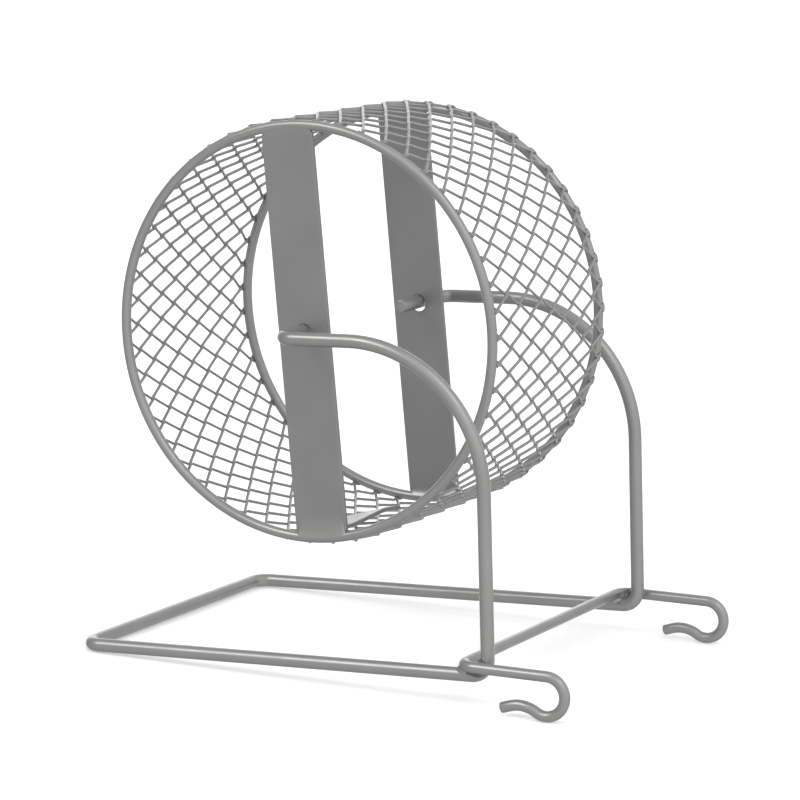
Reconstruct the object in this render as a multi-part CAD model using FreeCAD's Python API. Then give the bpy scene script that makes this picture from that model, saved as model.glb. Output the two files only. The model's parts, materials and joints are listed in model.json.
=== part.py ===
import FreeCAD, Part
import math
import os

# Rodent exercise wheel: an open drum of rolled expanded metal on two wire rings,
# hung by two flat straps on the bent-in ends of a one-piece wire stand.
# A second, thinner wire across the stand's rails ends in two cage hooks.
# Millimetres, +X to the hooked front, +Y away from the side with the tabbed strap, +Z up.
# The origin is on the floor, under the middle of the whole object's box.

# Wheel
wheel_diameter = 150.0
ring_spacing = 87.4
ring_wire = 3.5
mesh_thickness = 1.2
mesh_long_way = 17.0
mesh_short_way = 9.17
mesh_turn = 1.4
strand_width = 1.2
bond_inset = 1.2
bond_shift = 1.0
near_edge_lap = 0.5
far_edge_lap = 1.5
strap_width = 20.0
strap_thickness = 1.5
strap_edge_radius = 0.4
tab_width = 16.0
tab_length = 46.0
tab_bend_inner = 1.5
tab_dip = 1.2
tab_dip_run = 9.0
tab_dip_bend = 14.0
wheel_lean = 6.9

# Stand
stand_wire = 4.8
bend_inner = 3.6
arm_arc_radius = 55.0
arm_stand_off = 19.3
near_stub_reach = 12.0
far_stub_reach = 17.0
under_wheel_clearance = 37.0
upright_lead = 1.5
rear_overhang = 7.0

# Cross wire with the cage hooks
hook_wire = 3.85
hook_bend_inner = 4.1
crossbar_setback = 2.5
prong_dip = 2.12
near_hook_lead = 21.5
far_hook_lead = 23.05
hook_gap = 9.75
hook_return_angle = 33.7
hook_crest_radius = 11.5
hook_tip_angle = 15.5
hook_tip_straight = 3.4

# Fits and welds
seat_gap = 0.05
running_gap = 0.05
hole_slack = 1.0
weld_gap = 0.15
wire_weld_radius = 2.3
strap_weld_radius = 1.6
strap_weld_margin = 1.5
cut_margin = 2.0

# Wheel sizes that follow, about the wheel's centre
wheel_radius = wheel_diameter / 2
mesh_inner_radius = wheel_radius - mesh_thickness
ring_radius = mesh_inner_radius - seat_gap - ring_wire / 2
strap_end_radius = ring_radius - ring_wire / 2 - weld_gap
ring_plane = ring_spacing / 2
stub_radius = stand_wire / 2
hole_radius = stub_radius + hole_slack
hang_drop = hole_slack - running_gap
tab_under = math.sqrt(strap_end_radius ** 2 - (strap_width / 2) ** 2)
tab_level = strap_thickness / 2 - tab_under

# Stand sizes that follow, about the stubs' axis, with the rails still level
arm_plane = ring_plane + arm_stand_off
near_stub_tip = near_stub_reach - ring_plane
far_stub_tip = ring_plane - far_stub_reach
tight_bend = bend_inner + stub_radius
rail_level = -(hang_drop + wheel_radius + under_wheel_clearance)
upright_place = wheel_radius + upright_lead
rear_place = -(wheel_radius + rear_overhang)
hook_wire_radius = hook_wire / 2
wire_pitch = stub_radius + hook_wire_radius + weld_gap
prong_level = rail_level + wire_pitch
prong_plane = arm_plane + wire_pitch
hook_bend = hook_bend_inner + hook_wire_radius
crossbar_place = upright_place - tight_bend - crossbar_setback
loop_radius = (hook_gap + hook_wire) / 2
loop_outer_radius = loop_radius + hook_wire_radius
near_loop_place = upright_place + stub_radius + near_hook_lead
far_loop_place = upright_place + stub_radius + far_hook_lead
dip_angle = math.radians(prong_dip)


def prong_level_at(place):
    """Height of a prong's middle line, which dips from the crossbar towards the hook."""
    return prong_level - (place - crossbar_place) * math.tan(dip_angle)


def loop_level(place):
    """Height of the centre of a hook's loop at that place."""
    return prong_level_at(place) - loop_radius / math.cos(dip_angle)


def tip_to_floor(place):
    """Tip of the stand that levels the line under its rear wire and a loop at that place."""
    fall = rail_level - loop_level(place)
    run = place - rear_place
    return math.atan2(fall, run) + math.asin((loop_outer_radius - stub_radius) / math.hypot(run, fall))


# The stand rests on its rear wire and its hook loops, so it is tipped up at the front.
tip_up = max(tip_to_floor(near_loop_place), tip_to_floor(far_loop_place))


def tipped(forward, up):
    """Side-view place, in the tipped stand, of a point given with the rails level."""
    return (
        forward * math.cos(tip_up) - up * math.sin(tip_up),
        forward * math.sin(tip_up) + up * math.cos(tip_up),
    )


rear_x, rear_z = tipped(rear_place, rail_level)
near_loop_x, near_loop_z = tipped(near_loop_place, loop_level(near_loop_place))
far_loop_x, far_loop_z = tipped(far_loop_place, loop_level(far_loop_place))
back_end = min(rear_x - stub_radius, -wheel_radius)
front_end = max(near_loop_x + loop_outer_radius, far_loop_x + loop_outer_radius, wheel_radius)
stub_axis = FreeCAD.Vector(-(back_end + front_end) / 2, 0, stub_radius - rear_z)
wheel_centre = stub_axis - FreeCAD.Vector(0, 0, hang_drop)
across = FreeCAD.Vector(0, 1, 0)


def place_stand(shape):
    """Tip a piece of the stand and set it on the floor."""
    return shape.rotated(FreeCAD.Vector(), across, -math.degrees(tip_up)).translated(stub_axis)


def place_wheel(shape):
    """Lean a piece of the wheel to its resting turn and hang it on the stubs."""
    return shape.rotated(FreeCAD.Vector(), across, -wheel_lean).translated(wheel_centre)


def bent_path(corners, bends):
    """Straight runs between corner points, with an arc of its own radius at each inner corner."""
    edges = []
    here = corners[0]
    for index, bend in enumerate(bends, start=1):
        corner = corners[index]
        inward = (corner - corners[index - 1]).normalize()
        outward = (corners[index + 1] - corner).normalize()
        half_turn = inward.getAngle(outward) / 2
        setback = bend * math.tan(half_turn)
        begin = corner - inward * setback
        end = corner + outward * setback
        crown = corner + (outward - inward).normalize() * (bend / math.cos(half_turn) - bend)
        if not begin.isEqual(here, 1e-6):
            edges.append(Part.LineSegment(here, begin).toShape())
        edges.append(Part.Arc(begin, crown, end).toShape())
        here = end
    edges.append(Part.LineSegment(here, corners[-1]).toShape())
    return Part.Wire(edges)


def bent_wire(corners, bends, radius):
    """Round wire along a bent path."""
    path = bent_path(corners, bends)
    section = Part.Circle(corners[0], corners[1] - corners[0], radius).toShape()
    wire = path.makePipeShell([Part.Wire(section)], True, False)
    share = wire.Volume / (math.pi * radius ** 2 * path.Length)
    print("wire of %.1f mm, volume %.4f of section times length" % (path.Length, share))
    return wire


def mirrored_run(near_half):
    """Corner points of a wire that runs from the near end to the same end on the far side."""
    return near_half + [FreeCAD.Vector(point.x, -point.y, point.z) for point in reversed(near_half)]


def stand_wire_solid():
    """Stub, arm, arc, upright and rail of one side, the rear wire, and the same on the other side.

    The far stub reaches further in than the near one.
    """
    near_half = [
        FreeCAD.Vector(0, near_stub_tip, 0),
        FreeCAD.Vector(0, -arm_plane, 0),
        FreeCAD.Vector(upright_place, -arm_plane, 0),
        FreeCAD.Vector(upright_place, -arm_plane, rail_level),
        FreeCAD.Vector(rear_place, -arm_plane, rail_level),
    ]
    near_bends = [tight_bend, arm_arc_radius, tight_bend, tight_bend]
    corners = mirrored_run(near_half)
    corners[-1] = FreeCAD.Vector(0, far_stub_tip, 0)
    return bent_wire(corners, near_bends + near_bends[::-1], stub_radius)


def hook_corners(side, loop_place):
    """Corner points of one hook and its prong, from the hook's tip to the crossbar."""
    rise = math.radians(hook_return_angle)
    fall = math.radians(hook_tip_angle)
    return_setback = loop_radius * math.tan(rise / 2)
    crest_setback = hook_crest_radius * math.tan((rise + fall) / 2)
    plane = side * prong_plane
    front = loop_place + loop_radius
    bottom = loop_level(loop_place) - loop_radius
    turn_up = FreeCAD.Vector(loop_place - return_setback, plane, bottom)
    up_and_back = FreeCAD.Vector(-math.cos(rise), 0, math.sin(rise))
    down_and_back = FreeCAD.Vector(-math.cos(fall), 0, -math.sin(fall))
    crest = turn_up + up_and_back * (return_setback + crest_setback)
    tip = crest + down_and_back * (crest_setback + hook_tip_straight)
    return [
        tip,
        crest,
        turn_up,
        FreeCAD.Vector(front, plane, bottom),
        FreeCAD.Vector(front, plane, prong_level_at(front)),
        FreeCAD.Vector(crossbar_place, plane, prong_level),
    ]


def hook_wire_solid():
    """Hook, prong, crossbar, prong and hook, bent from one wire. The far prong is the longer one."""
    corners = hook_corners(-1, near_loop_place) + hook_corners(1, far_loop_place)[::-1]
    near_bends = [hook_crest_radius, loop_radius, loop_radius, loop_radius, hook_bend]
    return bent_wire(corners, near_bends + near_bends[::-1], hook_wire_radius)


def hook_wire_welds(stand, hooks):
    """Weld metal where the cross wire meets each rail, and beside the foot of each upright."""
    beads = []
    foot_centre = FreeCAD.Vector(upright_place - tight_bend, 0, rail_level + tight_bend)
    to_prong = FreeCAD.Vector(upright_place, 0, prong_level_at(upright_place)) - foot_centre
    foot = foot_centre + to_prong.normalize() * tight_bend
    contact = stub_radius + weld_gap / 2
    for side in (-1, 1):
        on_rail = FreeCAD.Vector(crossbar_place, side * arm_plane, rail_level + contact)
        beside_foot = FreeCAD.Vector(foot.x, side * (arm_plane + contact), foot.z)
        for place in (on_rail, beside_foot):
            beads += Part.makeSphere(wire_weld_radius, place).cut([stand, hooks]).Solids
    return Part.makeCompound(beads)


def ring_solid(side):
    """Wire ring at one end of the drum."""
    return Part.makeTorus(ring_radius, ring_wire / 2, across * side * ring_plane, across)


def mesh_solid():
    """Rolled sheet with rows of diamond windows, every second row half a diamond further round.

    The first and last rows of bonds lie beside the rings, where the sheet is spot-welded.
    Its strands end just past the near ring's crest, and further out on the far ring.
    """
    middle_round = math.pi * (wheel_radius + mesh_inner_radius)
    cells_round = round(middle_round / mesh_short_way)
    half_cell = middle_round / cells_round / 2
    bond_span = ring_spacing - 2 * bond_inset
    row_gaps = 2 * round(bond_span / mesh_long_way)
    row_pitch = bond_span / row_gaps
    slope = math.atan2(half_cell, row_pitch)
    half_short = half_cell - strand_width / 2 / math.cos(slope)
    half_long = row_pitch - strand_width / 2 / math.sin(slope)
    end = across * -(ring_plane + near_edge_lap)
    mesh_width = ring_spacing + near_edge_lap + far_edge_lap
    sheet = Part.makeCylinder(wheel_radius, mesh_width, end, across)
    sheet = sheet.cut(Part.makeCylinder(mesh_inner_radius, mesh_width, end, across))
    foot = mesh_inner_radius - cut_margin
    windows = []
    for row in range(-1, row_gaps + 2):
        place = bond_shift + row * row_pitch - bond_span / 2
        corners = [
            FreeCAD.Vector(half_short, place, foot),
            FreeCAD.Vector(0, place + half_long, foot),
            FreeCAD.Vector(-half_short, place, foot),
            FreeCAD.Vector(0, place - half_long, foot),
        ]
        diamond = Part.Face(Part.makePolygon(corners + corners[:1]))
        window = diamond.extrude(FreeCAD.Vector(0, 0, mesh_thickness + 2 * cut_margin))
        first_cell = 0 if row % 2 else 0.5
        for index in range(cells_round):
            turn = mesh_turn + (first_cell + index) * 360 / cells_round
            windows.append(window.rotated(FreeCAD.Vector(), across, turn))
    print("mesh of %d cells round and %d rows of bonds" % (cells_round, row_gaps + 1))
    return sheet.cut(windows).Solids[0]


def strip_solid(corners, bends):
    """Flat strip with softened edges along a path from its top."""
    half_width = strap_width / 2 - strap_edge_radius
    half_depth = strap_thickness / 2 - strap_edge_radius
    core = []
    for x, y in ((-1, -1), (1, -1), (1, 1), (-1, 1), (-1, -1)):
        core.append(corners[0] + FreeCAD.Vector(x * half_width, y * half_depth, 0))
    section = Part.makePolygon(core).makeOffset2D(strap_edge_radius)
    return bent_path(corners, bends).makePipeShell([section], True, False)


def strap_solid(side):
    """Straight strap across a ring, cut round inside it and holed in the middle."""
    top = FreeCAD.Vector(0, side * ring_plane, ring_radius)
    bottom = FreeCAD.Vector(0, side * ring_plane, -ring_radius)
    depth = strap_thickness + 2 * cut_margin
    back = across * (side * ring_plane - depth / 2)
    strap = strip_solid([top, bottom], [])
    strap = strap.common(Part.makeCylinder(strap_end_radius, depth, back, across))
    return strap.cut(Part.makeCylinder(hole_radius, depth, back, across)).Solids[0]


def tabbed_strap_solid():
    """Strap across the near ring, whose lower end is bent in between two shoulders as a flat tab.

    The tab passes over the ring, dips towards the drum's floor behind it, then runs level.
    """
    root_level = tab_level + strap_width / 2
    low_level = tab_level - tab_dip
    tab_end = strap_thickness / 2 + tab_length - ring_plane
    corners = [
        FreeCAD.Vector(0, -ring_plane, root_level + cut_margin),
        FreeCAD.Vector(0, -ring_plane, tab_level),
        FreeCAD.Vector(0, tab_dip_run - ring_plane, low_level),
        FreeCAD.Vector(0, tab_end, low_level),
    ]
    tab = strip_solid(corners, [tab_bend_inner + strap_thickness / 2, tab_dip_bend])
    front = -(ring_plane + strap_thickness)
    middle = Part.makeBox(
        tab_width,
        tab_end + cut_margin - front,
        root_level + wheel_radius,
        FreeCAD.Vector(-tab_width / 2, front, -wheel_radius),
    )
    return strap_solid(-1).cut(middle).fuse(tab.common(middle)).removeSplitter().Solids[0]


def strap_welds(side, ring, strap):
    """Weld metal between a strap's two ends and its ring."""
    beads = []
    reach = math.asin((strap_width / 2 - strap_weld_margin) / strap_end_radius)
    for top in (1, -1):
        seam_points = []
        for angle in (-reach, 0, reach):
            lift = top * strap_end_radius * math.cos(angle)
            seam_points.append(FreeCAD.Vector(strap_end_radius * math.sin(angle), side * ring_plane, lift))
        seam = Part.Wire(Part.Arc(*seam_points).toShape())
        start_direction = seam.Edges[0].tangentAt(seam.Edges[0].FirstParameter)
        section = Part.Circle(seam_points[0], start_direction, strap_weld_radius).toShape()
        bead = seam.makePipeShell([Part.Wire(section)], True, False)
        beads += bead.cut([ring, strap]).Solids
    return Part.makeCompound(beads)


stand = stand_wire_solid()
hooks = hook_wire_solid()
near_ring = ring_solid(-1)
far_ring = ring_solid(1)
near_strap = tabbed_strap_solid()
far_strap = strap_solid(1)

pieces = {
    "stand_wire": place_stand(stand),
    "hook_wire": place_stand(hooks),
    "hook_wire_welds": place_stand(hook_wire_welds(stand, hooks)),
    "near_ring": place_wheel(near_ring),
    "far_ring": place_wheel(far_ring),
    "running_mesh": place_wheel(mesh_solid()),
    "near_strap": place_wheel(near_strap),
    "far_strap": place_wheel(far_strap),
    "near_strap_welds": place_wheel(strap_welds(-1, near_ring, near_strap)),
    "far_strap_welds": place_wheel(strap_welds(1, far_ring, far_strap)),
}

os.makedirs("parts", exist_ok=True)
for name, shape in pieces.items():
    shape.exportStep("parts/" + name + ".step")
    print("%s: %d solids, %.1f mm3, valid %s" % (name, len(shape.Solids), shape.Volume, shape.isValid()))

print("stand tipped up by %.3f degrees" % math.degrees(tip_up))
print("wheel centre at %.4f, %.4f, %.4f" % tuple(wheel_centre))
for side, loop_x, loop_z in ((-1, near_loop_x, near_loop_z), (1, far_loop_x, far_loop_z)):
    loop_centre = stub_axis + FreeCAD.Vector(loop_x, side * prong_plane, loop_z)
    print("hook loop centred at %.4f, %.4f, %.4f" % tuple(loop_centre))
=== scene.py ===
import json
import math

import bmesh
import bpy
from bpy.props import FloatProperty, FloatVectorProperty, IntProperty, PointerProperty
from bpy.types import Operator, Panel, PropertyGroup
from mathutils import Matrix, Vector, noise
from mathutils.bvhtree import BVHTree


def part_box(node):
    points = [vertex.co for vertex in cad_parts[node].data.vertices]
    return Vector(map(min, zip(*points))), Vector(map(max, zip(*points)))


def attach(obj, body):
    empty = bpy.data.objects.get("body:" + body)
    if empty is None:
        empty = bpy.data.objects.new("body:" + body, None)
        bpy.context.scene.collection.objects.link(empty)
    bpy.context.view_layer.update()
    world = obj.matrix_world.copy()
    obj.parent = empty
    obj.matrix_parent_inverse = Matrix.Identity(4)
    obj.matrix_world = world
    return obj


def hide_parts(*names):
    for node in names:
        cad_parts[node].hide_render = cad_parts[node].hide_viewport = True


bl_info = {
    "name": "Rodent Exercise Wheel",
    "version": (1, 0, 0),
    "blender": (4, 5, 0),
    "location": "3D View > Sidebar > Wheel",
    "description": "Models a wire exercise wheel in silver lacquer round its packed frame",
    "category": "Object",
}

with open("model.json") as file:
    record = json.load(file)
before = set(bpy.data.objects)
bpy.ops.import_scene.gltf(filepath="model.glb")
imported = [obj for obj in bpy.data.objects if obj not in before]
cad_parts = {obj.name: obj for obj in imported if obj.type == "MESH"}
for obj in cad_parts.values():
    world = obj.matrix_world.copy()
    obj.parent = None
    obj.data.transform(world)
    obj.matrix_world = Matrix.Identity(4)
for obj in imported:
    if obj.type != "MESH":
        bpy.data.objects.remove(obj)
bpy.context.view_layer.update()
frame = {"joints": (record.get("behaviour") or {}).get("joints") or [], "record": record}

MM = 0.001
ACROSS = Vector((0, 1, 0))
WIRE_SIDES = 32
RING_STEPS = 180
BEND_STEP = math.radians(3.75)
SHARP_ANGLE = math.radians(50)
SHORTEST_RUN = 0.01 * MM
TOLERANCE = 0.001 * MM


def node_size(name):
    """Extents of a CAD node's box."""
    low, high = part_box(name)
    return high - low


def named(items, name):
    """The record's item of that name."""
    return next(item for item in items if item["name"] == name)


# The wheel, from the frame
WHEEL_CENTRE = Vector(named(frame["joints"], "wheel_spin")["pos_m"])
RING_WIRE = node_size("near_ring").y
RING_RADIUS = (node_size("near_ring").x - RING_WIRE) / 2
RING_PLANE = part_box("far_ring")[1].y - RING_WIRE / 2
DRUM_RADIUS = node_size("running_mesh").z / 2
STRAP_THICKNESS = node_size("far_strap").y

# The stand, from the frame
STAND_HALF_WIDTH = node_size("stand_wire").y / 2
NEAR_LOOP = Vector(named(frame["record"]["mounts"], "near_cage_hook")["pos_m"])
FAR_LOOP = Vector(named(frame["record"]["mounts"], "far_cage_hook")["pos_m"])


def length(name, description, millimetres):
    """A length that a user can change, written in millimetres and kept in metres."""
    return FloatProperty(
        name=name, description=description, default=millimetres * MM, unit="LENGTH", precision=5
    )


def angle(name, description, degrees):
    """An angle that a user can change, written in degrees and kept in radians."""
    return FloatProperty(
        name=name, description=description, default=math.radians(degrees), subtype="ANGLE"
    )


def colour(name, description, shade):
    """A colour that a user can change."""
    return FloatVectorProperty(
        name=name, description=description, default=shade, subtype="COLOR", min=0, max=1
    )


def share(name, description, default):
    """A share from nothing to all that a user can change."""
    return FloatProperty(
        name=name, description=description, default=default, min=0, max=1, subtype="FACTOR"
    )


def strength(name, description, default):
    """A lamp's strength that a user can change."""
    return FloatProperty(name=name, description=description, default=default, min=0)


class WheelSizes(PropertyGroup):
    """Sizes of the drum's mesh and of its straps."""

    lean: angle("Lean", "Turn of the wheel at rest, its top towards the rear", 6.9)
    cells: IntProperty(name="Cells Round", description="Diamond cells round the drum", default=51)
    rows: IntProperty(name="Rows of Bonds", description="Rows of bonds across the drum", default=11)
    first_row: length("First Row", "Place of the first row of bonds from the drum's middle", -41.5)
    row_pitch: length("Row Pitch", "Distance from one row of bonds to the next", 8.5)
    cell_turn: angle("Cell Turn", "Turn of the first window from the drum's top", 1.4)
    strand_width: length("Strand Width", "Width of a strand", 1.0)
    strand_depth: length("Strand Depth", "Depth of a strand", 0.9)
    strand_tilt: angle("Strand Tilt", "Tilt of the strands out of the sheet", 42)
    bond: length("Bond", "Length of a bond between two strands", 1.1)
    web_reach: length("Web Reach", "Distance from a bond's middle to where its rounded corners end", 1.4)
    last_row_short: length("Last Row Short", "How far the last row of bonds stops short of its place", 1.4)
    strap_width: length("Strap Width", "Width of a strap", 20)
    strap_edge: length("Strap Edge", "Radius of a strap's softened edges", 0.4)
    weld_gap: length("Weld Gap", "Gap between a strap's end and its ring", 0.15)
    hole_radius: length("Hole Radius", "Radius of the holes that hang on the stubs", 3.0)
    tab_width: length("Tab Width", "Width of the near strap's bent-in end", 16)
    tab_length: length("Tab Length", "Length of the near strap's bent-in end", 44)
    tab_bend: length("Tab Bend", "Inner radius of the tab's bend", 1.5)
    tab_dip: length("Tab Dip", "How far the tab dips behind the ring", 0.3)
    tab_dip_run: length("Tab Dip Run", "Distance behind the ring where the tab is level again", 9)
    tab_dip_bend: length("Tab Dip Bend", "Middle radius of the bend after the dip", 14)
    tab_roll: angle("Tab Roll", "Twist of the tab's free end, its rear edge down", 10)
    tab_sag: length("Tab Sag", "How far the tab's free end hangs down", 1.1)


class StandSizes(PropertyGroup):
    """Sizes of the stand wire and of the cross wire with its hooks."""

    wire: length("Stand Wire", "Thickness of the stand's wire", 4.8)
    bend: length("Bend", "Middle radius of the stand's tight bends", 6)
    arc: length("Arm Arc", "Middle radius of the arcs from the arms to the uprights", 50)
    hang_drop: length("Hang Drop", "How far the wheel's axis lies under the stubs' axis", 0.58)
    near_stub_tip: length("Near Stub Tip", "Distance of the near stub's tip from the middle", 31.7)
    far_stub_tip: length("Far Stub Tip", "Distance of the far stub's tip from the middle", 28.5)
    upright: length("Upright", "Distance of the uprights in front of the stubs", 76.9)
    rear: length("Rear Wire", "Distance of the rear wire behind the stubs", 82)
    rail_drop: length("Rail Drop", "Distance of the rails' rear ends under the stubs", 112.58)
    rail_rise: length("Rail Rise", "Rise of the rails from the rear wire to the uprights", 0.6)
    hook_wire: length("Cross Wire", "Thickness of the wire with the hooks", 3.85)
    hook_bend: length("Cross Wire Bend", "Middle radius of the bends from crossbar to prongs", 6.025)
    crossbar: length("Crossbar", "Distance of the crossbar in front of the stubs", 68)
    crossbar_drop: length("Crossbar Drop", "Distance of the crossbar under the stubs", 108.105)
    prong_dip: angle("Prong Dip", "Fall of the prongs from the crossbar to the hooks", 2.12)
    near_loop_reach: length("Near Loop Reach", "Place of the near loop in front of the stubs", 100.4)
    far_loop_reach: length("Far Loop Reach", "Place of the far loop in front of the stubs", 101.95)
    loop: length("Hook Loop", "Middle radius of a hook's loop", 6.8)
    return_angle: angle("Hook Return", "Rise of the wire behind the loop", 33.7)
    crest: length("Hook Crest", "Middle radius of the crest behind the loop", 11.5)
    tip_angle: angle("Hook Tip", "Fall of the wire at the hook's tip", 15.5)
    tip_straight: length("Tip Straight", "Straight length at the hook's tip", 3.4)


class LacquerLook(PropertyGroup):
    """Colours and gloss of the lacquer."""

    wire: colour("Wires", "Lacquer on the wires", (0.33, 0.33, 0.325))
    strap: colour("Straps", "Lacquer on the straps", (0.282, 0.282, 0.287))
    mesh: colour("Mesh", "Lacquer on the expanded metal", (0.33, 0.33, 0.325))
    # The weld tone below is lighter and warmer than the strap: partly the weld's own tone, and partly
    # painted light for the near strap's upturned foot catching the lamps.
    weld: colour("Welds", "Lacquer over the straps' weld metal, lighter partly as painted light", (0.345, 0.34, 0.33))
    # The dark shade below is painted shade: it stands in for the shadowed hollows at the uprights' feet.
    painted_hollow_shade: colour("Painted Shade in Weld Hollows", "Lacquer for painted shade in the cross wire's foot welds", (0.13, 0.13, 0.13))
    metallic: share("Metallic", "Metal flake in the lacquer", 0.55)
    roughness: share("Roughness", "Roughness of the satin lacquer", 0.32)


class StageLook(PropertyGroup):
    """Floor, light and camera."""

    floor: colour("Floor", "Colour of the floor", (0.95, 0.95, 0.95))
    floor_glow: share("Floor Glow", "Light that the pale floor gives off", 0.27)
    floor_radius: length("Floor Radius", "Radius of the floor", 12000)
    bright_turn: angle("Bright Side", "Turn of the room's bright side from the wheel's axis", 65)
    dim_above: strength("Dim Above", "Light over the wheel, on the room's dim side", 0.31)
    dim_around: strength("Dim Around", "Light at eye level, on the room's dim side", 0.28)
    dim_below: strength("Dim Below", "Light from the floor, on the room's dim side", 0.42)
    bright_above: strength("Bright Above", "Light over the wheel, on the room's bright side", 1.28)
    bright_around: strength("Bright Around", "Light at eye level, on the room's bright side", 1.01)
    bright_below: strength("Bright Below", "Light from the floor, on the room's bright side", 0.95)
    behind: strength("Behind", "Light from the pale ground and wall behind the wheel", 1.5)
    left_lamp: strength("Left Lamp", "Strength of the lamp far on the left", 0.75)
    right_lamp: strength("Right Lamp", "Strength of the lamp right of the camera", 0.3)
    lamp_spread: angle("Lamp Spread", "Width of a lamp as the wheel sees it", 28)
    azimuth: angle("Azimuth", "Camera's turn from the wheel's axis towards the hooks", 26.887)
    elevation: angle("Elevation", "Camera's height above the horizon", 9.733)
    roll: angle("Roll", "Camera's roll", 1.301)
    distance: length("Distance", "Distance of the camera from its target", 1341.89)
    target: FloatVectorProperty(
        name="Target",
        description="Point at the middle of the view",
        default=(-4.01 * MM, 0, 90.365 * MM),
        subtype="TRANSLATION",
    )
    lens: FloatProperty(name="Lens", description="Focal length in millimetres", default=169.78)


# Modelling helpers

def edges_among(made):
    """From what an extrusion made: the new vertices and the edges between them."""
    verts = [item for item in made if isinstance(item, bmesh.types.BMVert)]
    fresh = set(verts)
    edges = [item for item in made if isinstance(item, bmesh.types.BMEdge)]
    return verts, [edge for edge in edges if fresh.issuperset(edge.verts)]


def carry_on(bm, end, matrix):
    """Extrude an open end and move the new end by a matrix. Gives the new end's edges."""
    made = bmesh.ops.extrude_edge_only(bm, edges=end)["geom"]
    verts, edges = edges_among(made)
    bmesh.ops.transform(bm, matrix=matrix, verts=verts)
    return edges


def verts_of(edges):
    """Vertices of some edges, each once, in order."""
    return list(dict.fromkeys(vert for edge in edges for vert in edge.verts))


def edges_of(verts):
    """Edges that join some vertices, each once, in order."""
    chosen = set(verts)
    found = [edge for vert in verts for edge in vert.link_edges if chosen.issuperset(edge.verts)]
    return list(dict.fromkeys(found))


def turn_about(centre, axis, turn):
    """Matrix of a turn about an axis through a point."""
    return Matrix.Translation(centre) @ Matrix.Rotation(turn, 4, axis) @ Matrix.Translation(-centre)


def round_off(bm, edges, radius):
    """Round off some edges."""
    bmesh.ops.bevel(
        bm, geom=edges, offset=radius, segments=3, profile=0.5, affect="EDGES", material=-1
    )


def close_end(bm, end, softness):
    """Close an open end of wire with a cut face whose rim is softened."""
    cap = bmesh.ops.contextual_create(bm, geom=end)["faces"]
    round_off(bm, cap[0].edges[:], softness)


def bent_wire(bm, corners, bends, radius, softness):
    """Draw a round wire along straight runs, with an arc of its own radius at each inner corner."""
    grain = bm.verts.layers.float_vector.new("grain")
    facing = (corners[1] - corners[0]).to_track_quat("Z", "Y").to_matrix().to_4x4()
    place = Matrix.Translation(corners[0]) @ facing
    ring = bmesh.ops.create_circle(bm, segments=WIRE_SIDES, radius=radius, matrix=place)["verts"]
    for vert in ring:
        vert[grain] = place.inverted() @ vert.co / radius
    first_end = edges_of(ring)
    end = first_end
    here = corners[0]
    for index, bend in enumerate(bends, start=1):
        corner = corners[index]
        inward = (corner - corners[index - 1]).normalized()
        outward = (corners[index + 1] - corner).normalized()
        turn = inward.angle(outward)
        setback = bend * math.tan(turn / 2)
        begin = corner - inward * setback
        if (begin - here).length > SHORTEST_RUN:
            end = carry_on(bm, end, Matrix.Translation(begin - here))
        aside = (outward - inward * inward.dot(outward)).normalized()
        steps = math.ceil(turn / BEND_STEP)
        step = turn_about(begin + aside * bend, inward.cross(outward), turn / steps)
        for _ in range(steps):
            end = carry_on(bm, end, step)
        here = corner + outward * setback
    end = carry_on(bm, end, Matrix.Translation(corners[-1] - here))
    close_end(bm, first_end, softness)
    close_end(bm, end, softness)


def mirrored_run(near_half):
    """Corner points of a wire that runs from the near end to the same end on the far side."""
    return near_half + [Vector((point.x, -point.y, point.z)) for point in reversed(near_half)]


def prong_level(sizes, reach):
    """Height of a prong so far in front of the stubs. It dips from the crossbar to its hook."""
    return -sizes.crossbar_drop - (reach - sizes.crossbar) * math.tan(sizes.prong_dip)


def loop_level(sizes, reach):
    """Height of the centre of a hook's loop so far in front of the stubs."""
    return prong_level(sizes, reach) - sizes.loop / math.cos(sizes.prong_dip)


def stand_place(sizes):
    """Where the stand's own axes lie: at the stubs, tipped up until rear wire and loops meet the floor."""
    stubs = WHEEL_CENTRE + Vector((0, 0, sizes.hang_drop))
    seen = FAR_LOOP - stubs
    level = math.atan2(loop_level(sizes, sizes.far_loop_reach), sizes.far_loop_reach)
    tip_up = math.atan2(seen.z, seen.x) - level
    return Matrix.Translation(stubs) @ Matrix.Rotation(-tip_up, 4, "Y")


def wheel_place(sizes):
    """Where the wheel's own axes lie: at its centre, leaned to its resting turn."""
    return Matrix.Translation(WHEEL_CENTRE) @ Matrix.Rotation(-sizes.lean, 4, "Y")


def surface_of(name):
    """Search tree over the faces of a finished piece."""
    bm = bmesh.new()
    bm.from_mesh(bpy.data.objects[name].data)
    tree = BVHTree.FromBMesh(bm)
    bm.free()
    return tree


def depth_outside(tree, point):
    """Distance of a point from a closed surface, less than nothing inside it."""
    spot, normal, _, distance = tree.find_nearest(point)
    return math.copysign(distance, (point - spot).dot(normal))


def add_piece(bm, name, place, material, body, nodes):
    """Put a finished shape in its place as a piece that rides on a body and stands for CAD nodes."""
    bmesh.ops.transform(bm, matrix=place, verts=bm.verts[:])
    bmesh.ops.remove_doubles(bm, verts=bm.verts[:], dist=TOLERANCE)
    bmesh.ops.recalc_face_normals(bm, faces=bm.faces[:])
    mesh = bpy.data.meshes.new(name)
    bm.to_mesh(mesh)
    bm.free()
    mesh.shade_smooth()
    mesh.set_sharp_from_angle(angle=SHARP_ANGLE)
    mesh.materials.append(material)
    piece = bpy.data.objects.new(name, mesh)
    bpy.context.scene.collection.objects.link(piece)
    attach(piece, body)
    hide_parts(*nodes)
    return piece


# Materials

FLAKE_SHARE = 0.35
DARKEST = 0.93
LIGHTEST = 1.07
GLOSSIER = 0.04
DULLER = 0.05


def add_node(tree, kind, **inputs):
    """Add a node with these input values. An underscore in a name stands for a space."""
    node = tree.nodes.new(kind)
    for name, value in inputs.items():
        node.inputs[name.replace("_", " ")].default_value = value
    return node


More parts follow.
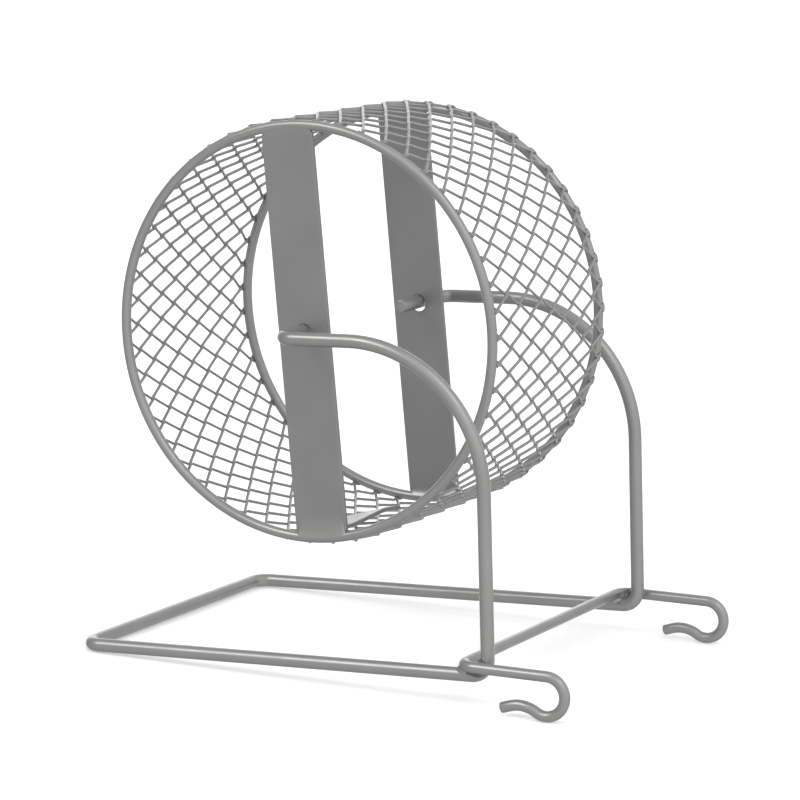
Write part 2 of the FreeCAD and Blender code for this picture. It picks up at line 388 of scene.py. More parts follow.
def add_noise(tree, vector, scale, detail):
    """Noise over some coordinates, with so many waves to the metre."""
    node = add_node(tree, "ShaderNodeTexNoise", Scale=scale, Detail=detail)
    tree.links.new(vector, node.inputs["Vector"])
    return node.outputs["Fac"]


def add_range(tree, value, low, high):
    """Spread the middle of a noise over a range."""
    node = add_node(tree, "ShaderNodeMapRange", From_Min=0.3, From_Max=0.7, To_Min=low, To_Max=high)
    tree.links.new(value, node.inputs["Value"])
    return node.outputs["Result"]


def add_bump(tree, height, amount, distance, normal=None):
    """Small relief from a height, over another relief if one is given."""
    node = add_node(tree, "ShaderNodeBump", Strength=amount, Distance=distance)
    tree.links.new(height, node.inputs["Height"])
    if normal:
        tree.links.new(normal, node.inputs["Normal"])
    return node.outputs["Normal"]


def lacquer(name, shade, look, drawn=False, blends_into=None):
    """Satin silver lacquer: metal flakes, a faint orange peel, and slow drifts of tone and gloss.

    Drawn wire also shows its lines, and a weld attribute blends the colour into another shade: painted
    shade that fades out on the cross wire's foot welds, and on the straps' fillets a lighter weld tone that
    is partly painted light.
    """
    material = bpy.data.materials.new(name)
    material.use_nodes = True
    tree = material.node_tree
    tree.nodes.clear()
    shader = add_node(tree, "ShaderNodeBsdfPrincipled", Metallic=look.metallic)
    output = tree.nodes.new("ShaderNodeOutputMaterial")
    tree.links.new(shader.outputs["BSDF"], output.inputs["Surface"])
    place = tree.nodes.new("ShaderNodeTexCoord").outputs["Object"]

    flakes = add_noise(tree, place, scale=5200, detail=1)
    drift = add_noise(tree, place, scale=45, detail=3)
    tone = add_node(tree, "ShaderNodeMix", Factor=FLAKE_SHARE)
    tone.data_type = "FLOAT"
    tree.links.new(drift, tone.inputs["A"])
    tree.links.new(flakes, tone.inputs["B"])
    paint = tree.nodes.new("ShaderNodeMix")
    paint.data_type = "RGBA"
    paint.inputs["A"].default_value = [part * DARKEST for part in shade] + [1]
    paint.inputs["B"].default_value = [min(part * LIGHTEST, 1) for part in shade] + [1]
    tree.links.new(add_range(tree, tone.outputs["Result"], 0, 1), paint.inputs["Factor"])
    # The weld attribute blends into a second shade: painted shade on the cross wire's foot welds, and a
    # lighter weld tone, partly painted light, on the strap fillets.
    if blends_into:
        weld = tree.nodes.new("ShaderNodeAttribute")
        weld.attribute_name = "weld"
        over = tree.nodes.new("ShaderNodeMix")
        over.data_type = "RGBA"
        over.inputs["B"].default_value = [*blends_into, 1]
        tree.links.new(weld.outputs["Fac"], over.inputs["Factor"])
        tree.links.new(paint.outputs["Result"], over.inputs["A"])
        paint = over
    tree.links.new(paint.outputs["Result"], shader.inputs["Base Color"])

    gloss = add_noise(tree, place, scale=160, detail=4)
    spread = add_range(tree, gloss, look.roughness - GLOSSIER, look.roughness + DULLER)
    tree.links.new(spread, shader.inputs["Roughness"])

    peel = add_noise(tree, place, scale=900, detail=2)
    relief = add_bump(tree, peel, amount=0.25, distance=0.03 * MM)
    relief = add_bump(tree, flakes, amount=0.15, distance=0.01 * MM, normal=relief)
    if drawn:
        lines = tree.nodes.new("ShaderNodeAttribute")
        lines.attribute_name = "grain"
        grain = add_noise(tree, lines.outputs["Vector"], scale=7, detail=3)
        relief = add_bump(tree, grain, amount=0.2, distance=0.03 * MM, normal=relief)
    tree.links.new(relief, shader.inputs["Normal"])
    return material


# Operators, one for each piece or group of like pieces

class WHEEL_OT_stand_wire(Operator):
    """Bend the stand from one wire: stubs, arms, arcs, uprights, rails and rear wire."""

    bl_idname = "wheel.stand_wire"
    bl_label = "Stand Wire"

    def execute(self, context):
        sizes = context.scene.stand_sizes
        look = context.scene.lacquer_look
        radius = sizes.wire / 2
        arm_plane = STAND_HALF_WIDTH - radius
        near_half = [
            Vector((0, -sizes.near_stub_tip, 0)),
            Vector((0, -arm_plane, 0)),
            Vector((sizes.upright, -arm_plane, 0)),
            Vector((sizes.upright, -arm_plane, sizes.rail_rise - sizes.rail_drop)),
            Vector((-sizes.rear, -arm_plane, -sizes.rail_drop)),
        ]
        corners = mirrored_run(near_half)
        corners[-1].y = sizes.far_stub_tip
        bends = [sizes.bend, sizes.arc, sizes.bend, sizes.bend]
        bm = bmesh.new()
        bent_wire(bm, corners, bends + bends[::-1], radius, softness=0.5 * MM)
        material = lacquer("stand_wire_lacquer", look.wire, look, drawn=True)
        add_piece(
            bm, "bent_stand_wire", stand_place(sizes), material, "stand", ["stand_wire"]
        )
        return {"FINISHED"}


class WHEEL_OT_hook_wire(Operator):
    """Bend the cross wire: hook, prong, crossbar, prong and hook."""

    bl_idname = "wheel.hook_wire"
    bl_label = "Cross Wire with Hooks"

    def execute(self, context):
        sizes = context.scene.stand_sizes
        look = context.scene.lacquer_look
        near = self.corners(sizes, sizes.near_loop_reach, NEAR_LOOP.y)
        far = self.corners(sizes, sizes.far_loop_reach, FAR_LOOP.y)
        bends = [sizes.crest, sizes.loop, sizes.loop, sizes.loop, sizes.hook_bend]
        bm = bmesh.new()
        radius = sizes.hook_wire / 2
        bent_wire(bm, near + far[::-1], bends + bends[::-1], radius, softness=0.3 * MM)
        material = lacquer("hook_wire_lacquer", look.wire, look, drawn=True)
        add_piece(
            bm, "cage_hook_wire", stand_place(sizes), material, "stand", ["hook_wire"]
        )
        return {"FINISHED"}

    def corners(self, sizes, reach, plane):
        """Corner points of one hook and its prong, from the hook's tip to the crossbar."""
        return_setback = sizes.loop * math.tan(sizes.return_angle / 2)
        crest_setback = sizes.crest * math.tan((sizes.return_angle + sizes.tip_angle) / 2)
        front = reach + sizes.loop
        bottom = loop_level(sizes, reach) - sizes.loop
        turn_up = Vector((reach - return_setback, plane, bottom))
        rising = Vector((-math.cos(sizes.return_angle), 0, math.sin(sizes.return_angle)))
        falling = Vector((-math.cos(sizes.tip_angle), 0, -math.sin(sizes.tip_angle)))
        crest = turn_up + rising * (return_setback + crest_setback)
        return [
            crest + falling * (crest_setback + sizes.tip_straight),
            crest,
            turn_up,
            Vector((front, plane, bottom)),
            Vector((front, plane, prong_level(sizes, front))),
            Vector((sizes.crossbar, plane, -sizes.crossbar_drop)),
        ]


class WHEEL_OT_hook_welds(Operator):
    """Lay the weld beads where the cross wire meets the rails and the feet of the uprights, with painted
    shade in the foot beads' hollows.
    """

    bl_idname = "wheel.hook_welds"
    bl_label = "Cross Wire Welds"

    RAIL_BEAD = 3.4 * MM
    FOOT_BEAD = 5.5 * MM
    FOOT_BACK = 3 * MM
    FOOT_DOWN = 0.6 * MM
    STRIDE = 0.3 * MM
    HALVINGS = 6
    FILL = 5.5 * MM
    LEAST_FILL = 0.01
    LUMPS = 0.35
    LUMP_SIZE = 2.2 * MM
    RIM_SINK = 0.06 * MM

    def execute(self, context):
        sizes = context.scene.stand_sizes
        look = context.scene.lacquer_look
        self.wires = [surface_of("bent_stand_wire"), surface_of("cage_hook_wire")]
        arm_plane = STAND_HALF_WIDTH - sizes.wire / 2
        place = stand_place(sizes)
        bm = bmesh.new()
        for side in (-1, 1):
            on_rail = Vector((sizes.crossbar, side * arm_plane, -sizes.rail_drop + sizes.wire / 2))
            foot_level = -sizes.crossbar_drop - self.FOOT_DOWN
            foot = Vector((sizes.upright - self.FOOT_BACK, side * STAND_HALF_WIDTH, foot_level))
            self.lay_bead(bm, place @ on_rail, self.RAIL_BEAD, bright=1)
            # Foot beads get painted shade, dark in the middle of the hollow; rail beads keep the wire's
            # colour.
            self.lay_bead(bm, place @ foot, self.FOOT_BEAD, bright=0)
        # Dark lacquer as painted shade, blended into the wire's colour by the weld share.
        material = lacquer("hook_weld_painted_shade_lacquer", look.painted_hollow_shade, look, blends_into=look.wire)
        add_piece(
            bm, "hook_weld_beads", Matrix.Identity(4), material, "stand", ["hook_wire_welds"]
        )
        return {"FINISHED"}

    def lay_bead(self, bm, centre, reach, bright):
        """Weld metal that fills the hollow between two wires. Unless bright is 1, its colour carries
        painted shade, darkest in the hollow's middle and fading to the wire's colour where it runs out
        along the wires.
        """
        weld = bm.verts.layers.float.get("weld") or bm.verts.layers.float.new("weld")
        bead = bmesh.ops.create_icosphere(bm, subdivisions=5, radius=1)["verts"]
        for vert in bead:
            way = vert.co.normalized()
            inner = 0
            outer = reach
            while inner < reach and self.filled(centre + way * inner, centre, reach):
                inner += self.STRIDE
            if inner < reach:
                outer = inner
                inner = max(outer - self.STRIDE, 0)
                for _ in range(self.HALVINGS):
                    middle = (inner + outer) / 2
                    if self.filled(centre + way * middle, centre, reach):
                        inner = middle
                    else:
                        outer = middle
            vert.co = centre + way * outer
            # Share of the wire's colour; the rest is painted shade, darkest in the middle of a foot bead.
            vert[weld] = max(bright, (outer / reach) ** 4)

    def filled(self, point, centre, reach):
        """Whether weld metal reaches a point: most in the hollow at the middle, none at the rim."""
        one, other = (depth_outside(wire, point) for wire in self.wires)
        far = (point - centre).length / reach
        lumps = 1 + self.LUMPS * noise.noise(point / self.LUMP_SIZE)
        fill = self.FILL * max(1 - far ** 2, self.LEAST_FILL) * lumps
        meet = max(fill - abs(one - other), 0)
        return min(one, other) - meet ** 2 / fill / 4 + self.RIM_SINK * far < 0


class WHEEL_OT_rings(Operator):
    """Roll the two wire rings at the ends of the drum."""

    bl_idname = "wheel.rings"
    bl_label = "Drum Rings"

    def execute(self, context):
        look = context.scene.lacquer_look
        place = wheel_place(context.scene.wheel_sizes)
        material = lacquer("ring_lacquer", look.wire, look, drawn=True)
        for side, plane in (("near", -RING_PLANE), ("far", RING_PLANE)):
            bm = bmesh.new()
            grain = bm.verts.layers.float_vector.new("grain")
            middle = Vector((RING_RADIUS, plane, 0))
            section = bmesh.ops.create_circle(
                bm, segments=WIRE_SIDES, radius=RING_WIRE / 2, matrix=Matrix.Translation(middle)
            )["verts"]
            for vert in section:
                vert[grain] = (vert.co - middle) / RING_WIRE * 2
            bmesh.ops.spin(
                bm, geom=section + edges_of(section), cent=(0, 0, 0), axis=ACROSS,
                angle=math.tau, steps=RING_STEPS, use_merge=True,
            )
            add_piece(
                bm, side + "_drum_ring", place, material, "wheel", [side + "_ring"]
            )
        return {"FINISHED"}


class WHEEL_OT_running_mesh(Operator):
    """Roll the expanded metal: zigzag strands that meet in bonds, pressed flat on the rings."""

    bl_idname = "wheel.running_mesh"
    bl_label = "Running Mesh"

    NEAR_INSET = 0.4 * MM
    FAR_OVERHANG = 1.4 * MM
    TIP = 0.3 * MM
    TIP_SHARE = 0.6
    CORNER = 0.27 * MM
    BOND_OVERLAP = 0.06 * MM
    BOND_EASE = 0.35 * MM
    WEB_FADE = 0.6 * MM
    COLLAR = 0.85
    PRESS_START = 2.4 * MM
    PRESS_RUN = 1.8 * MM
    PRESS_WIDER = 0.1
    PRESS_THINNER = 0.2
    SHEET_DEPTH = 1.1 * MM
    NEAR_PROUD = 0.05 * MM
    FAR_PROUD = 0.25 * MM
    BOND_STATIONS = (-1.5, -1.0, -0.7, -0.35, 0, 0.35, 0.7, 1.0, 1.5)
    RING_STATIONS = (0.1, 0.6)
    LONG_WAVES = (14 * MM, 0.14)
    SHORT_WAVES = (3 * MM, 0.05)
    SEED = 1

    def execute(self, context):
        sizes = context.scene.wheel_sizes
        look = context.scene.lacquer_look
        self.sizes = sizes
        self.bonds = [sizes.first_row + row * sizes.row_pitch for row in range(sizes.rows)]
        self.bonds[-1] -= sizes.last_row_short
        self.near_end = self.NEAR_INSET - RING_PLANE
        self.far_end = RING_PLANE + self.FAR_OVERHANG
        half_cell = math.pi * DRUM_RADIUS / sizes.cells
        half_width = sizes.strand_width / 2 * math.cos(sizes.strand_tilt)
        self.swing = half_cell / 2 - half_width + self.BOND_OVERLAP
        bm = bmesh.new()
        for parity in (0, 1):
            self.roll_strands(bm, parity)
        self.unsettle(bm)
        material = lacquer("mesh_lacquer", look.mesh, look)
        add_piece(
            bm, "expanded_metal", wheel_place(sizes), material, "wheel", ["running_mesh"]
        )
        return {"FINISHED"}

    def sway(self, y, parity):
        """Sideways place of a strand: out to one neighbour at a bond, and to the other at the next."""
        row = self.nearest_bond(y)
        neighbour = row + (1 if y > self.bonds[row] else -1)
        half_run = self.sizes.row_pitch / 2
        if 0 <= neighbour < len(self.bonds):
            half_run = abs(self.bonds[neighbour] - self.bonds[row]) / 2
        flat = self.sizes.bond / 2
        past = abs(y - self.bonds[row]) - flat
        eased = (past + math.hypot(past, self.BOND_EASE)) / 2
        side = 1 if (row + parity) % 2 else -1
        return side * self.swing * (1 - eased / (half_run - flat))

    def nearest_bond(self, y):
        """Row of bonds nearest to a place across the drum."""
        return min(range(len(self.bonds)), key=lambda row: abs(y - self.bonds[row]))

    def web(self, y, sway):
        """Extra width of a strand: rounded corners beside a bond, and a collar outside the last bonds."""
        past = abs(y - self.bonds[self.nearest_bond(y)])
        fade = min(max((self.sizes.web_reach - past) / self.WEB_FADE, 0), 1)
        if not self.bonds[0] <= y <= self.bonds[-1]:
            fade = self.COLLAR
        return (self.swing - abs(sway)) * fade * fade * (3 - 2 * fade)

    def pressed(self, y):
        """How far a strand is pressed down on a ring, from 0 to 1."""
        over = (abs(y) - RING_PLANE + self.PRESS_START) / self.PRESS_RUN
        over = min(max(over, 0), 1)
        return over * over * (3 - 2 * over)

    def lie(self, y, sway):
        """Distance of a strand's middle from the axle: in the sheet, or on the ring's top."""
        sizes = self.sizes
        rise = -sway / self.swing * sizes.strand_width / 2 * math.sin(sizes.strand_tilt)
        in_sheet = DRUM_RADIUS - self.SHEET_DEPTH + rise
        across = min(abs(abs(y) - RING_PLANE), RING_WIRE / 2)
        proud = self.FAR_PROUD if y > 0 else self.NEAR_PROUD
        on_ring = RING_RADIUS + math.sqrt((RING_WIRE / 2) ** 2 - across ** 2) + proud
        weight = self.pressed(y)
        return in_sheet * (1 - weight) + on_ring * weight

    def section_place(self, y, parity, band):
        """Matrix of a strand's section at a place across the drum."""
        sizes = self.sizes
        sway = self.sway(y, parity)
        step = 0.05 * MM
        slope = (self.sway(y + step, parity) - self.sway(y - step, parity)) / (2 * step)
        weight = self.pressed(y)
        web = self.web(y, sway)
        turn = band + (sway + math.copysign(web / 2, sway)) / DRUM_RADIUS
        wider = 1 + self.PRESS_WIDER * weight + web / sizes.strand_width
        flat = Vector((wider, 1, 1 - self.PRESS_THINNER * weight))
        if y in (self.near_end, self.far_end):
            flat *= self.TIP_SHARE
        return (
            Matrix.Rotation(turn, 4, "Y")
            @ Matrix.Translation((0, y, self.lie(y, sway)))
            @ Matrix.Rotation(-math.atan(slope), 4, "Z")
            @ Matrix.Rotation(-sizes.strand_tilt * (1 - weight), 4, "Y")
            @ Matrix.Diagonal(flat).to_4x4()
        )

    def stations(self):
        """Places along a strand: close together at bonds and ends, far apart on straight runs."""
        places = [self.near_end]
        for bond in self.bonds:
            places += [bond + away * MM for away in self.BOND_STATIONS]
        places += [RING_PLANE + away * MM for away in self.RING_STATIONS]
        return places + [self.far_end - self.TIP, self.far_end]

    def roll_strands(self, bm, parity):
        """Draw one strand across the drum, then repeat it round the drum."""
        sizes = self.sizes
        cell = math.tau / sizes.cells
        band = sizes.cell_turn + cell * (0.25 + parity / 2)
        blank = bmesh.ops.create_grid(bm, x_segments=1, y_segments=1, size=0.5)["verts"]
        bmesh.ops.scale(bm, vec=(sizes.strand_width, sizes.strand_depth, 1), verts=blank)
        made = bmesh.ops.bevel(
            bm, geom=blank, offset=self.CORNER, segments=1, profile=0.5, affect="VERTICES", material=-1
        )
        section = made["verts"]
        faces = list({face for vert in section for face in vert.link_faces})
        bmesh.ops.delete(bm, geom=faces, context="FACES_ONLY")
        upright = Matrix.Rotation(-math.pi / 2, 4, "X")
        places = self.stations()
        there = self.section_place(places[0], parity, band)
        bmesh.ops.transform(bm, matrix=there @ upright, verts=section)
        first_end = edges_of(section)
        end = first_end
        strand = verts_of(end)
        for y in places[1:]:
            here = self.section_place(y, parity, band)
            end = carry_on(bm, end, here @ there.inverted())
            there = here
            strand += verts_of(end)
        for rim in (first_end, end):
            bmesh.ops.contextual_create(bm, geom=rim)
        whole = strand + edges_of(strand) + list(dict.fromkeys(f for v in strand for f in v.link_faces))
        bmesh.ops.spin(
            bm, geom=whole, cent=(0, 0, 0), axis=ACROSS, angle=cell * (sizes.cells - 1),
            steps=sizes.cells - 1, use_duplicate=True,
        )

    def unsettle(self, bm):
        """Give the stretched metal its small unevenness, the same each time."""
        noise.seed_set(self.SEED)
        for vert in bm.verts:
            for wave, amount in (self.LONG_WAVES, self.SHORT_WAVES):
                vert.co += noise.noise_vector(vert.co / wave) * amount * MM


class WHEEL_OT_straps(Operator):
    """Cut the two straps, the near one with its lower end bent in as a tab."""

    bl_idname = "wheel.straps"
    bl_label = "Straps"

    HOLE_SIDES = 64
    HOLE_COLLAR = 1.35
    SNAP = 0.5 * MM
    ROOT_STEPS = 12
    DIP_STEPS = 4
    TWIST_STEPS = 8
    SAG_STEPS = 4
    SLIT = 0.2 * MM
    ROOT_DEPTH = 4.5 * MM

    def execute(self, context):
        sizes = context.scene.wheel_sizes
        look = context.scene.lacquer_look
        self.sizes = sizes
        self.end_radius = RING_RADIUS - RING_WIRE / 2 - sizes.weld_gap
        material = lacquer("strap_lacquer", look.strap, look)
        for side in ("near", "far"):
            bm = bmesh.new()
            upper, lower = self.cut_face(bm)
            self.round_end(bm, upper, 1)
            if side == "near":
                self.bend_tab(bm, lower)
            else:
                self.round_end(bm, lower, -1)
            self.thicken(bm)
            self.soften(bm, sizes.tab_width / 2 if side == "near" else 0)
            plane = -RING_PLANE if side == "near" else RING_PLANE
            place = wheel_place(sizes) @ Matrix.Translation((0, plane - STRAP_THICKNESS / 2, 0))
            piece = add_piece(
                bm, side + "_flat_strap", place, material, "wheel", [side + "_strap"]
            )
            piece.modifiers.new("Flat faces", "WEIGHTED_NORMAL")
        return {"FINISHED"}

    def cut_face(self, bm):
        """Square of strap round its hole. Gives its upper and lower edges."""
        sizes = self.sizes
        upright = Matrix.Rotation(math.pi / 2, 4, "X")
        hole = bmesh.ops.create_circle(
            bm, segments=self.HOLE_SIDES, radius=sizes.hole_radius, matrix=upright
        )["verts"]
        collar = carry_on(bm, edges_of(hole), Matrix.Scale(self.HOLE_COLLAR, 4))
        square = carry_on(bm, collar, Matrix.Identity(4))
        half = sizes.strap_width / 2
        for vert in verts_of(square):
            vert.co *= half / max(abs(vert.co.x), abs(vert.co.z))
        near_half = half - TOLERANCE
        upper = [edge for edge in square if all(vert.co.z > near_half for vert in edge.verts)]
        lower = [edge for edge in square if all(vert.co.z < -near_half for vert in edge.verts)]
        return upper, lower

    def round_end(self, bm, edges, way):
        """Carry the strap on to its ring, cut round."""
        end = carry_on(bm, edges, Matrix.Identity(4))
        for vert in verts_of(end):
            vert.co.z = way * math.sqrt(self.end_radius ** 2 - vert.co.x ** 2)

    def bend_tab(self, bm, edges):
        """Carry the strap down to its bend, in over the ring, down its dip, twisted, then hanging."""
        sizes = self.sizes
        half = STRAP_THICKNESS / 2
        under = math.sqrt(self.end_radius ** 2 - (sizes.strap_width / 2) ** 2)
        fall = math.atan2(sizes.tab_dip, sizes.tab_dip_run)
        turn = math.pi / 2 - fall
        setback = (sizes.tab_bend + half) * math.tan(turn / 2)
        bend_level = half - under + setback
        end = carry_on(bm, edges, Matrix.Translation((0, 0, bend_level + sizes.strap_width / 2)))
        half_tab = sizes.tab_width / 2
        for vert in verts_of(end):
            if abs(abs(vert.co.x) - half_tab) < self.SNAP:
                vert.co.x = math.copysign(half_tab, vert.co.x)
        outside = half_tab + self.SNAP
        shoulders = [edge for edge in end if max(abs(vert.co.x) for vert in edge.verts) > outside]
        self.round_end(bm, shoulders, -1)
        end = [edge for edge in end if edge not in shoulders]
        root = Vector((0, sizes.tab_bend + 2 * half, bend_level))
        end = self.bend(bm, end, root, turn, self.ROOT_STEPS)

        falling = Vector((0, math.cos(fall), -math.sin(fall)))
        above = Vector((0, math.sin(fall), math.cos(fall)))
        dip_setback = sizes.tab_dip_bend * math.tan(fall / 2)
        slope = math.hypot(sizes.tab_dip, sizes.tab_dip_run) - setback - dip_setback
        end = carry_on(bm, end, Matrix.Translation(falling * slope))
        dip = Vector((0, half + sizes.tab_dip_run, half - under - sizes.tab_dip))
        dip_centre = dip - falling * dip_setback + above * sizes.tab_dip_bend
        end = self.bend(bm, end, dip_centre, fall, self.DIP_STEPS)

        level_run = sizes.tab_length + 2 * half - dip.y - dip_setback
        step = level_run / (self.TWIST_STEPS + self.SAG_STEPS)
        forward = Matrix.Translation((0, step, 0))
        twisting = forward @ turn_about(dip, ACROSS, -sizes.tab_roll / self.TWIST_STEPS)
        for _ in range(self.TWIST_STEPS):
            end = carry_on(bm, end, twisting)
        hanging = Matrix.Translation((0, step, -sizes.tab_sag / self.SAG_STEPS))
        for _ in range(self.SAG_STEPS):
            end = carry_on(bm, end, hanging)

    def bend(self, bm, end, centre, turn, steps):
        """Carry an end of strip round a bend across it."""
        step = turn_about(centre, Vector((1, 0, 0)), turn / steps)
        for _ in range(steps):
            end = carry_on(bm, end, step)
        return end

    def thicken(self, bm):
        """Give the strap its thickness, away from its front."""
        bmesh.ops.recalc_face_normals(bm, faces=bm.faces[:])
        if sum(face.normal.y * face.calc_area() for face in bm.faces) > 0:
            bmesh.ops.reverse_faces(bm, faces=bm.faces[:])
        bmesh.ops.solidify(bm, geom=bm.faces[:], thickness=STRAP_THICKNESS)
        bmesh.ops.recalc_face_normals(bm, faces=bm.faces[:])

    def soften(self, bm, half_tab):
        """Soften the strap's edges, except in the narrow slits between a tab's root and the shoulders."""
        sharp = []
        for edge in bm.edges:
            beside_tab = all(abs(abs(vert.co.x) - half_tab) < self.SLIT for vert in edge.verts)
            at_root = max(vert.co.y for vert in edge.verts) < self.ROOT_DEPTH
            if edge.calc_face_angle(0) > SHARP_ANGLE and not (half_tab and beside_tab and at_root):
                sharp.append(edge)
        round_off(bm, sharp, self.sizes.strap_edge)


class WHEEL_OT_strap_welds(Operator):
    """Lay the weld fillets between the straps' ends and their rings."""

    bl_idname = "wheel.strap_welds"
    bl_label = "Strap Welds"

    BENT_IN_HOLLOWS = (38 * MM, 3 * MM)
    PLAIN_HOLLOWS = (6 * MM, 6 * MM)
    ARC_STEPS = 8
    SEAM_STEPS = 40
    END_INSET = 0.3 * MM
    THINNEST = 0.002

    def execute(self, context):
        sizes = context.scene.wheel_sizes
        look = context.scene.lacquer_look
        # Strap fillets blend from the strap's shade into the weld tone, whose lightness is partly painted
        # light.
        material = lacquer("strap_weld_lacquer", look.strap, look, blends_into=look.weld)
        for side, plane in (("near", -RING_PLANE), ("far", RING_PLANE)):
            bm = bmesh.new()
            for way in (1, -1):
                bent_in = side == "near" and way == -1
                hollows = self.BENT_IN_HOLLOWS if bent_in else self.PLAIN_HOLLOWS
                self.lay_fillet(bm, sizes, plane, way, hollows)
            add_piece(
                bm, side + "_strap_fillets", wheel_place(sizes), material, "wheel",
                [side + "_strap_welds"],
            )
        return {"FINISHED"}

    def fillet_arc(self, radius, side):
        """Hollow arc from a strap's face to the ring, as places across and out from the axle."""
        face = STRAP_THICKNESS / 2
        wire = RING_WIRE / 2
        rise = math.sqrt((wire + radius) ** 2 - (face + radius) ** 2)
        centre = Vector((side * (face + radius), RING_RADIUS - rise))
        sweep = math.atan2(rise, face + radius)
        points = []
        for index in range(self.ARC_STEPS + 1):
            turn = sweep * index / self.ARC_STEPS
            points.append(centre + Vector((-side * math.cos(turn), math.sin(turn))) * radius)
        return points

    def lay_fillet(self, bm, sizes, plane, way, hollows):
        """One seam of weld metal, hollow towards both faces, thinned out at its two ends."""
        weld = bm.verts.layers.float.get("weld") or bm.verts.layers.float.new("weld")
        from_strap = [index / self.ARC_STEPS for index in range(self.ARC_STEPS + 1)]
        half_turn = math.asin((sizes.strap_width / 2 - self.END_INSET) / RING_RADIUS)
        ends = []
        for step in range(self.SEAM_STEPS + 1):
            along = 2 * step / self.SEAM_STEPS - 1
            full = math.sqrt(max(1 - along ** 6, self.THINNEST))
            outline = self.fillet_arc(hollows[0] * full, -1) + self.fillet_arc(hollows[1] * full, 1)[::-1]
            turned = Matrix.Rotation(half_turn * along, 4, "Y")
            spots = [turned @ Vector((0, plane + across, out * way)) for across, out in outline]
            verts = [bm.verts.new(spot) for spot in spots]
            # The weld share grows from the strap's face to the ring; the lighter tone it gives is partly
            # painted light at the near strap's foot.
            for vert, part in zip(verts, from_strap + from_strap[::-1]):
                vert[weld] = part
            edges = [bm.edges.new((vert, verts[index - 1])) for index, vert in enumerate(verts)]
            if ends:
                bmesh.ops.bridge_loops(bm, edges=ends[-1] + edges)
            ends.append(edges)
        for rim in (ends[0], ends[-1]):
            bmesh.ops.contextual_create(bm, geom=rim)


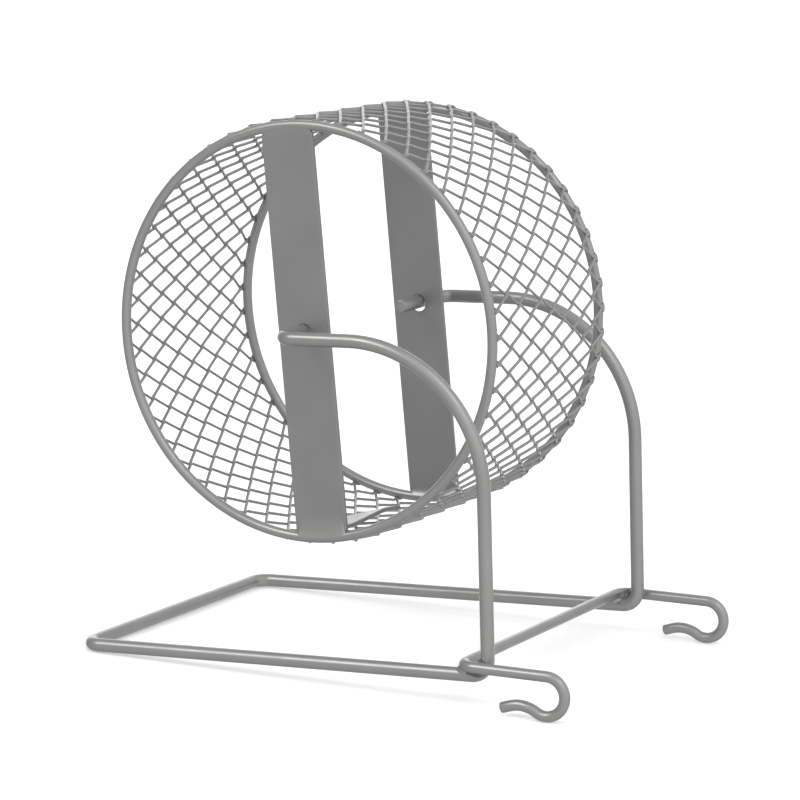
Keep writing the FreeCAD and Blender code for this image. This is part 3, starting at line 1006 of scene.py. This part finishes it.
class WHEEL_OT_stage(Operator):
    """Set out the floor, the soft light and the camera."""

    bl_idname = "wheel.stage"
    bl_label = "Stage"

    GLOW_FROM = 0.88
    GLOW_FULL = 0.97
    FLOOR_LINE = 0.46
    WALL = (0.5, 0.58)
    CEILING = 0.68

    def execute(self, context):
        look = context.scene.stage_look
        self.lay_floor(look)
        self.light(context.scene, look)
        self.set_camera(context.scene, look)
        context.scene.view_settings.view_transform = "Standard"
        return {"FINISHED"}

    def lay_floor(self, look):
        """Wide pale floor, which throws no light of its own back on the wires."""
        bm = bmesh.new()
        bmesh.ops.create_circle(bm, cap_ends=True, segments=64, radius=look.floor_radius)
        mesh = bpy.data.meshes.new("floor")
        bm.to_mesh(mesh)
        bm.free()
        material = bpy.data.materials.new("pale_floor")
        material.use_nodes = True
        shader = material.node_tree.nodes["Principled BSDF"]
        shader.inputs["Base Color"].default_value = [*look.floor, 1]
        shader.inputs["Roughness"].default_value = 0.9
        shader.inputs["Emission Color"].default_value = [*look.floor, 1]
        shader.inputs["Emission Strength"].default_value = look.floor_glow
        mesh.materials.append(material)
        floor = bpy.data.objects.new("floor", mesh)
        floor.visible_diffuse = False
        floor.visible_glossy = False
        bpy.context.scene.collection.objects.link(floor)

    def light(self, scene, look):
        """Pale room with a dim and a bright side, a glow behind the wheel, and two wide soft lamps."""
        world = bpy.data.worlds.new("studio")
        world.use_nodes = True
        tree = world.node_tree
        way = tree.nodes.new("ShaderNodeTexCoord").outputs["Generated"]
        sides = self.add_shares(tree, way, (math.sin(look.bright_turn), -math.cos(look.bright_turn), 0))
        height = self.add_shares(tree, way, (0, 0, 1))
        room = tree.nodes.new("ShaderNodeMix")
        room.data_type = "RGBA"
        tree.links.new(sides, room.inputs["Factor"])
        dim = self.add_levels(tree, height, look.dim_below, look.dim_around, look.dim_above)
        tree.links.new(dim, room.inputs["A"])
        bright = self.add_levels(tree, height, look.bright_below, look.bright_around, look.bright_above)
        tree.links.new(bright, room.inputs["B"])
        away = self.add_shares(tree, way, (-math.sin(look.azimuth), math.cos(look.azimuth), 0))
        behind = add_node(
            tree, "ShaderNodeMapRange", From_Min=self.GLOW_FROM, From_Max=self.GLOW_FULL, To_Max=look.behind
        )
        tree.links.new(away, behind.inputs["Value"])
        lit = add_node(tree, "ShaderNodeMix", Factor=1)
        lit.data_type = "RGBA"
        lit.blend_type = "ADD"
        tree.links.new(room.outputs["Result"], lit.inputs["A"])
        tree.links.new(behind.outputs["Result"], lit.inputs["B"])
        tree.links.new(lit.outputs["Result"], tree.nodes["Background"].inputs["Color"])
        scene.world = world
        self.add_lamp(scene, look, "left_lamp", look.left_lamp, turn=-62.5, height=40)
        self.add_lamp(scene, look, "right_lamp", look.right_lamp, turn=24, height=50)

    def add_shares(self, tree, way, towards):
        """How far a direction turns towards another, from 0 away from it to 1 along it."""
        along = tree.nodes.new("ShaderNodeVectorMath")
        along.operation = "DOT_PRODUCT"
        along.inputs[1].default_value = towards
        tree.links.new(way, along.inputs[0])
        part = add_node(tree, "ShaderNodeMapRange", From_Min=-1, From_Max=1)
        tree.links.new(along.outputs["Value"], part.inputs["Value"])
        return part.outputs["Result"]

    def add_levels(self, tree, height, below, around, above):
        """Shades of the room from the floor to the ceiling."""
        ramp = tree.nodes.new("ShaderNodeValToRGB")
        tree.links.new(height, ramp.inputs["Fac"])
        steps = ramp.color_ramp.elements
        steps[0].color = [below] * 3 + [1]
        steps[1].color = [above] * 3 + [1]
        places = (self.FLOOR_LINE, *self.WALL, self.CEILING)
        for place, level in zip(places, (below, around, around, above)):
            steps.new(place).color = [level] * 3 + [1]
        return ramp.outputs["Color"]

    def add_lamp(self, scene, look, name, energy, turn, height):
        """Wide soft lamp, turned aside from the camera and raised, both in degrees."""
        data = bpy.data.lights.new(name, "SUN")
        data.energy = energy
        data.angle = look.lamp_spread
        lamp = bpy.data.objects.new(name, data)
        lamp.rotation_euler = (math.radians(90 - height), 0, look.azimuth + math.radians(turn))
        scene.collection.objects.link(lamp)

    def set_camera(self, scene, look):
        """Camera on a long lens, at its angles and distance from the target."""
        data = bpy.data.cameras.new("camera")
        data.lens = look.lens
        data.clip_end = 30
        back = Vector((
            math.sin(look.azimuth) * math.cos(look.elevation),
            -math.cos(look.azimuth) * math.cos(look.elevation),
            math.sin(look.elevation),
        ))
        level = Vector((math.cos(look.azimuth), math.sin(look.azimuth), 0))
        axes = Matrix((level, back.cross(level), back)).transposed() @ Matrix.Rotation(look.roll, 3, "Z")
        camera = bpy.data.objects.new("camera", data)
        camera.location = Vector(look.target) + back * look.distance
        camera.rotation_euler = axes.to_euler()
        scene.collection.objects.link(camera)
        scene.camera = camera


class WHEEL_PT_pieces(Panel):
    """Lists the pieces of the wheel and their sizes."""

    bl_idname = "WHEEL_PT_pieces"
    bl_label = "Exercise Wheel"
    bl_space_type = "VIEW_3D"
    bl_region_type = "UI"
    bl_category = "Wheel"

    def draw(self, context):
        for operator in OPERATORS:
            self.layout.operator(operator.bl_idname)
        for name, group in GROUPS.items():
            box = self.layout.box()
            box.label(text=group.__doc__)
            for key in group.__annotations__:
                box.prop(getattr(context.scene, name), key)


OPERATORS = (
    WHEEL_OT_stand_wire,
    WHEEL_OT_hook_wire,
    WHEEL_OT_hook_welds,
    WHEEL_OT_rings,
    WHEEL_OT_running_mesh,
    WHEEL_OT_straps,
    WHEEL_OT_strap_welds,
    WHEEL_OT_stage,
)
GROUPS = {
    "wheel_sizes": WheelSizes,
    "stand_sizes": StandSizes,
    "lacquer_look": LacquerLook,
    "stage_look": StageLook,
}


def register():
    for group in (*GROUPS.values(), *OPERATORS, WHEEL_PT_pieces):
        bpy.utils.register_class(group)
    for name, group in GROUPS.items():
        setattr(bpy.types.Scene, name, PointerProperty(type=group))


def unregister():
    for name in GROUPS:
        delattr(bpy.types.Scene, name)
    for group in (WHEEL_PT_pieces, *OPERATORS, *GROUPS.values()):
        bpy.utils.unregister_class(group)


def main():
    register()
    bpy.ops.wheel.stand_wire()
    bpy.ops.wheel.hook_wire()
    bpy.ops.wheel.hook_welds()
    bpy.ops.wheel.rings()
    bpy.ops.wheel.running_mesh()
    bpy.ops.wheel.straps()
    bpy.ops.wheel.strap_welds()
    bpy.ops.wheel.stage()


if __name__ == "__main__":
    main()
